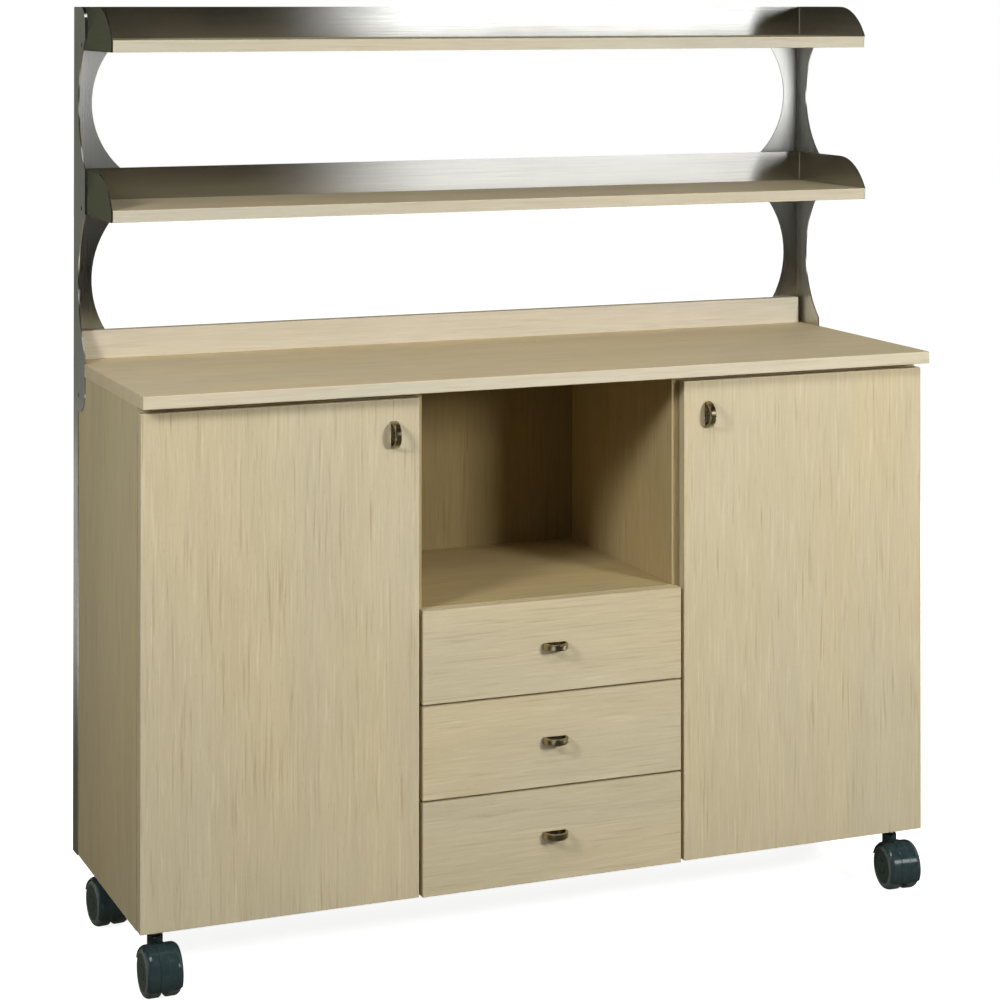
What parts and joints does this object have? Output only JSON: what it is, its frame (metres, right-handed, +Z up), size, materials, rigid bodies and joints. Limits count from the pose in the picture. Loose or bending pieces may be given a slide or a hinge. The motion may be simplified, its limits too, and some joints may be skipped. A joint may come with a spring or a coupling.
{
  "type": "waiter service station",
  "caption": "Oak waiter service station on castors: two cupboards, an open niche over drawers, and two open shelves on scalloped steel uprights.",
  "frame": {"origin": "on the floor under the middle of the station's overall box", "axes": "+X to the station's right seen from the front, +Y to the back, +Z up; the doors and drawers face -Y"},
  "size_m": [1.35, 0.457, 1.483],
  "materials": {
    "oak_board": "satin lacquered light oak, straight grain",
    "birch_ply": "clear lacquered birch",
    "stainless_sheet": "satin stainless sheet",
    "screw_steel": "bright screw head",
    "satin_nickel": "satin nickel plate",
    "hinge_steel": "nickel-plated pressed steel",
    "zinc_steel": "bright zinc plate",
    "castor_plastic": "semi-gloss anthracite moulded plastic"
  },
  "bodies": {
    "cabinet": {"back_panel": "oak_board", "bottom_panel": "oak_board", "castor_stems": "zinc_steel", "cupboard_shelf_left": "oak_board", "cupboard_shelf_right": "oak_board", "drawer_runners": "birch_ply", "hinge_arms": "hinge_steel", "niche_floor": "oak_board", "partition_left": "oak_board", "partition_right": "oak_board", "rear_upstand": "oak_board", "shelf_board_lower": "oak_board", "shelf_board_upper": "oak_board", "shelf_pins": "zinc_steel", "shelf_rail_lower": "stainless_sheet", "shelf_rail_upper": "stainless_sheet", "side_panel_left": "oak_board", "side_panel_right": "oak_board", "steelwork_screws": "screw_steel", "top_rails": "oak_board", "upright_left": "stainless_sheet", "upright_right": "stainless_sheet", "worktop": "oak_board"},
    "left_door": {"door_left": "oak_board", "hinge_cups_left": "hinge_steel", "hinge_pins_left": "zinc_steel", "door_pull_left": "satin_nickel"},
    "right_door": {"door_right": "oak_board", "hinge_cups_right": "hinge_steel", "hinge_pins_right": "zinc_steel", "door_pull_right": "satin_nickel"},
    "bottom_drawer": {"drawer_front_bottom": "oak_board", "drawer_box_bottom": "birch_ply", "drawer_bottom_bottom": "birch_ply", "drawer_pull_bottom": "satin_nickel"},
    "middle_drawer": {"drawer_front_middle": "oak_board", "drawer_box_middle": "birch_ply", "drawer_bottom_middle": "birch_ply", "drawer_pull_middle": "satin_nickel"},
    "top_drawer": {"drawer_front_top": "oak_board", "drawer_box_top": "birch_ply", "drawer_bottom_top": "birch_ply", "drawer_pull_top": "satin_nickel"},
    "castor_front_left": {"castor_housing_front_left": "castor_plastic", "castor_axle_front_left": "zinc_steel"},
    "wheel_front_left_a": {"castor_wheel_front_left_a": "castor_plastic"},
    "wheel_front_left_b": {"castor_wheel_front_left_b": "castor_plastic"},
    "castor_front_right": {"castor_housing_front_right": "castor_plastic", "castor_axle_front_right": "zinc_steel"},
    "wheel_front_right_a": {"castor_wheel_front_right_a": "castor_plastic"},
    "wheel_front_right_b": {"castor_wheel_front_right_b": "castor_plastic"},
    "castor_rear_left": {"castor_housing_rear_left": "castor_plastic", "castor_axle_rear_left": "zinc_steel"},
    "wheel_rear_left_a": {"castor_wheel_rear_left_a": "castor_plastic"},
    "wheel_rear_left_b": {"castor_wheel_rear_left_b": "castor_plastic"},
    "castor_rear_right": {"castor_housing_rear_right": "castor_plastic", "castor_axle_rear_right": "zinc_steel"},
    "wheel_rear_right_a": {"castor_wheel_rear_right_a": "castor_plastic"},
    "wheel_rear_right_b": {"castor_wheel_rear_right_b": "castor_plastic"}
  },
  "joints": [
    {"name": "left_door_hinge", "type": "hinge", "parent": "cabinet", "child": "left_door", "pos_m": [-0.6649, -0.195, 0.1], "axis": [0, 0, -1], "range_deg": [0, 100]},
    {"name": "right_door_hinge", "type": "hinge", "parent": "cabinet", "child": "right_door", "pos_m": [0.6649, -0.195, 0.1], "axis": [0, 0, 1], "range_deg": [0, 100]},
    {"name": "bottom_drawer_slide", "type": "slide", "parent": "cabinet", "child": "bottom_drawer", "axis": [0, -1, 0], "range_m": [0, 0.26]},
    {"name": "middle_drawer_slide", "type": "slide", "parent": "cabinet", "child": "middle_drawer", "axis": [0, -1, 0], "range_m": [0, 0.26]},
    {"name": "top_drawer_slide", "type": "slide", "parent": "cabinet", "child": "top_drawer", "axis": [0, -1, 0], "range_m": [0, 0.26]},
    {"name": "castor_swivel_front_left", "type": "hinge", "parent": "cabinet", "child": "castor_front_left", "pos_m": [-0.638, -0.1585, 0.1], "axis": [0, 0, 1], "continuous": true},
    {"name": "wheel_spin_front_left_a", "type": "hinge", "parent": "castor_front_left", "child": "wheel_front_left_a", "pos_m": [-0.638, -0.1865, 0.0375], "axis": [1, 0, 0], "continuous": true},
    {"name": "wheel_spin_front_left_b", "type": "hinge", "parent": "castor_front_left", "child": "wheel_front_left_b", "pos_m": [-0.638, -0.1865, 0.0375], "axis": [1, 0, 0], "continuous": true},
    {"name": "castor_swivel_front_right", "type": "hinge", "parent": "cabinet", "child": "castor_front_right", "pos_m": [0.638, -0.1585, 0.1], "axis": [0, 0, 1], "continuous": true},
    {"name": "wheel_spin_front_right_a", "type": "hinge", "parent": "castor_front_right", "child": "wheel_front_right_a", "pos_m": [0.63556, -0.18639, 0.0375], "axis": [0.9962, -0.0872, 0], "continuous": true},
    {"name": "wheel_spin_front_right_b", "type": "hinge", "parent": "castor_front_right", "child": "wheel_front_right_b", "pos_m": [0.63556, -0.18639, 0.0375], "axis": [0.9962, -0.0872, 0], "continuous": true},
    {"name": "castor_swivel_rear_left", "type": "hinge", "parent": "cabinet", "child": "castor_rear_left", "pos_m": [-0.638, 0.1725, 0.1], "axis": [0, 0, 1], "continuous": true},
    {"name": "wheel_spin_rear_left_a", "type": "hinge", "parent": "castor_rear_left", "child": "wheel_rear_left_a", "pos_m": [-0.63556, 0.14461, 0.0375], "axis": [0.9962, 0.0872, 0], "continuous": true},
    {"name": "wheel_spin_rear_left_b", "type": "hinge", "parent": "castor_rear_left", "child": "wheel_rear_left_b", "pos_m": [-0.63556, 0.14461, 0.0375], "axis": [0.9962, 0.0872, 0], "continuous": true},
    {"name": "castor_swivel_rear_right", "type": "hinge", "parent": "cabinet", "child": "castor_rear_right", "pos_m": [0.638, 0.1725, 0.1], "axis": [0, 0, 1], "continuous": true},
    {"name": "wheel_spin_rear_right_a", "type": "hinge", "parent": "castor_rear_right", "child": "wheel_rear_right_a", "pos_m": [0.63556, 0.14461, 0.0375], "axis": [0.9962, -0.0872, 0], "continuous": true},
    {"name": "wheel_spin_rear_right_b", "type": "hinge", "parent": "castor_rear_right", "child": "wheel_rear_right_b", "pos_m": [0.63556, 0.14461, 0.0375], "axis": [0.9962, -0.0872, 0], "continuous": true}
  ]
}
